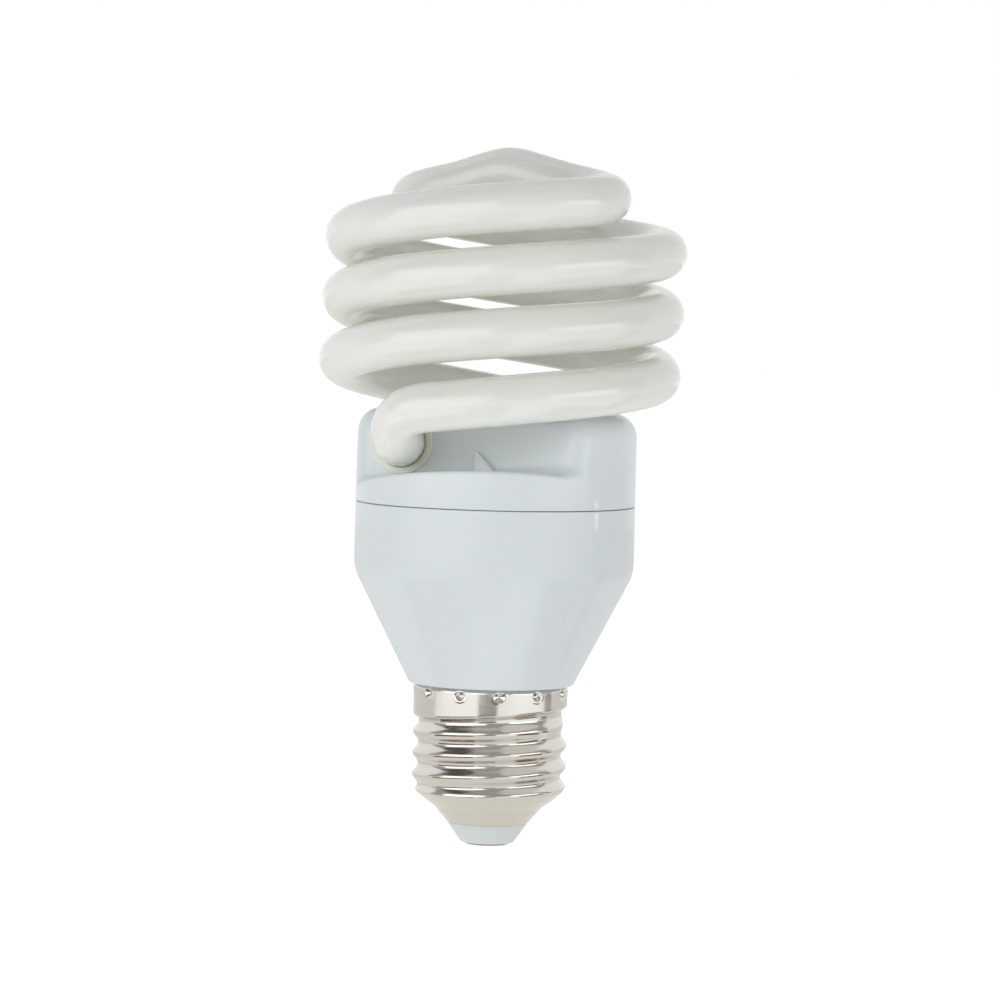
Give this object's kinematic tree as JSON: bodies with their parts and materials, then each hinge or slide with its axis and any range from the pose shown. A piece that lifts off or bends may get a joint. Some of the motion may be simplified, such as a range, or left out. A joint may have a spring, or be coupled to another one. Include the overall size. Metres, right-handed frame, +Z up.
{
  "type": "spiral energy saving bulb",
  "caption": "Compact fluorescent lamp with a double-helix glass tube, a moulded ballast housing and an E27 screw cap.",
  "frame": {"origin": "centre of the end contact's face", "axes": "+Z up the lamp's axis from the contact to the crown of the spiral, -Y towards the first tube leg's recess"},
  "size_m": [0.062, 0.0626, 0.1186],
  "materials": {
    "coated_glass": "phosphor-coated glossy glass",
    "collar": "cream sealing compound",
    "housing_plastic": "semi-gloss moulded plastic",
    "insulator_plastic": "moulded plastic",
    "nickel": "bright nickel plate",
    "contact_metal": "nickelled brass",
    "board": "paper laminate",
    "ferrite": "ground ferrite",
    "bobbin_plastic": "moulded",
    "copper": "enamelled copper",
    "can_sleeve": "shrink sleeve",
    "black_package": "moulded epoxy",
    "film_dip": "dipped coating",
    "glass_bead": "glass bead",
    "resistor_coat": "lacquer",
    "tinned_wire": "tinned",
    "wire_sleeve": "sleeved wire"
  },
  "bodies": {
    "root": {"glass_spiral": "coated_glass", "tube_collar_front": "collar", "tube_collar_back": "collar", "tube_cover": "housing_plastic", "ballast_housing": "housing_plastic", "screw_shell": "nickel", "base_insulator": "insulator_plastic", "centre_contact": "contact_metal", "circuit_board": "board", "choke_core": "ferrite", "choke_bobbin": "bobbin_plastic", "choke_winding": "copper", "bulk_capacitor": "can_sleeve", "driver_toroid": "ferrite", "line_choke": "ferrite", "transistor_high": "black_package", "transistor_low": "black_package", "resonant_capacitor": "film_dip", "blocking_capacitor": "film_dip", "rectifier_diodes": "black_package", "trigger_diode": "glass_bead", "fuse_resistor": "resistor_coat", "bias_resistors": "resistor_coat", "wire_pins": "contact_metal", "filament_leads": "tinned_wire", "live_wire": "wire_sleeve", "neutral_wire": "wire_sleeve"}
  },
  "joints": []
}
